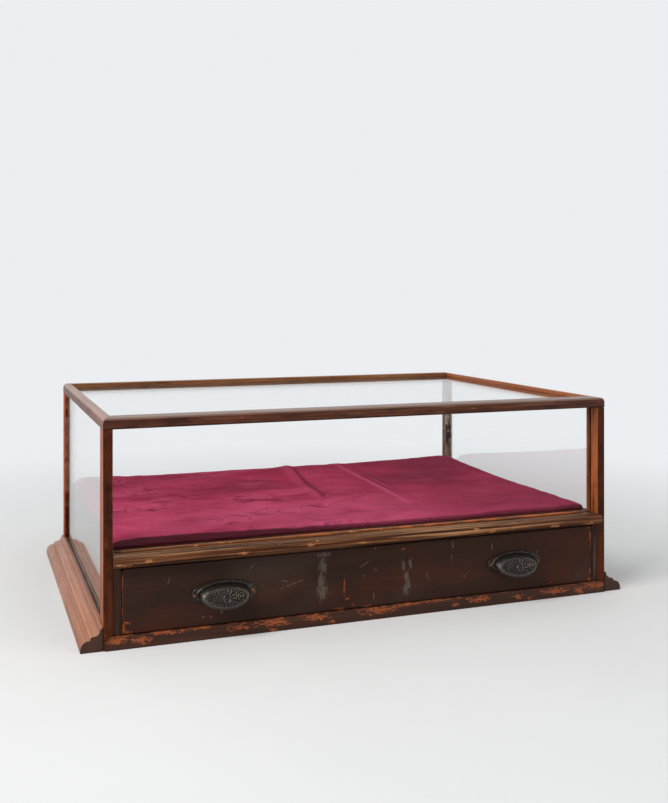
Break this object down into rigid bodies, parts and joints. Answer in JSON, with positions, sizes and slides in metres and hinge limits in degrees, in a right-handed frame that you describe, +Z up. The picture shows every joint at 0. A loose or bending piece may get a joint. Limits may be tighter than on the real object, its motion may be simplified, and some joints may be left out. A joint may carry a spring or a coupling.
{
  "type": "counter display case",
  "caption": "Glazed wooden counter-top display case with a satin-covered bed, open at the back, over one shallow sliding drawer with cup pulls",
  "frame": {"origin": "Centre of the underside of the whole case with the drawer closed, pulls included, on the surface it stands on", "axes": "+X to the right along the width, +Y to the open back, +Z up; the drawer opens towards -Y"},
  "size_m": [0.914, 0.6253, 0.334],
  "materials": {
    "mahogany": "worn shellac over stained mahogany",
    "moulding": "worn shellac over stained mahogany",
    "dark_panel": "dark, dulled varnish",
    "secondary_wood": "bare, aged softwood",
    "worn_bead": "bare orange wood, varnish worn off",
    "glass": "clear sheet glass",
    "satin": "crimson satin",
    "cast_metal": "dark, worn on the raised parts",
    "screw_metal": "tarnished and rusty"
  },
  "bodies": {
    "case": {"front_left_post": "mahogany", "front_right_post": "mahogany", "rear_left_post": "mahogany", "rear_right_post": "mahogany", "front_top_rail": "mahogany", "rear_top_rail": "mahogany", "left_top_rail": "mahogany", "right_top_rail": "mahogany", "left_bottom_rail": "mahogany", "right_bottom_rail": "mahogany", "front_sill": "mahogany", "rear_sill": "mahogany", "bottom_front_rail": "mahogany", "bottom_rear_rail": "mahogany", "back_board": "dark_panel", "left_base_moulding": "moulding", "right_base_moulding": "moulding", "front_left_corner_bead": "mahogany", "front_right_corner_bead": "mahogany", "front_sill_bead": "worn_bead", "top_glass": "glass", "front_glass": "glass", "left_glass": "glass", "right_glass": "glass", "display_deck": "secondary_wood", "bed_board": "secondary_wood", "satin_bed": "satin", "left_bay_side": "dark_panel", "right_bay_side": "dark_panel", "case_floor": "secondary_wood", "left_runner": "secondary_wood", "right_runner": "secondary_wood", "left_kicker": "secondary_wood", "right_kicker": "secondary_wood", "left_stop": "secondary_wood", "right_stop": "secondary_wood"},
    "drawer": {"drawer_front": "dark_panel", "drawer_left_side": "secondary_wood", "drawer_right_side": "secondary_wood", "drawer_back": "secondary_wood", "drawer_bottom": "secondary_wood", "left_cup_pull": "cast_metal", "right_cup_pull": "cast_metal", "left_pull_left_screw": "screw_metal", "left_pull_right_screw": "screw_metal", "right_pull_left_screw": "screw_metal", "right_pull_right_screw": "screw_metal"}
  },
  "joints": [
    {"name": "drawer_slide", "type": "slide", "parent": "case", "child": "drawer", "axis": [0, -1, 0], "range_m": [0, 0.42]}
  ]
}
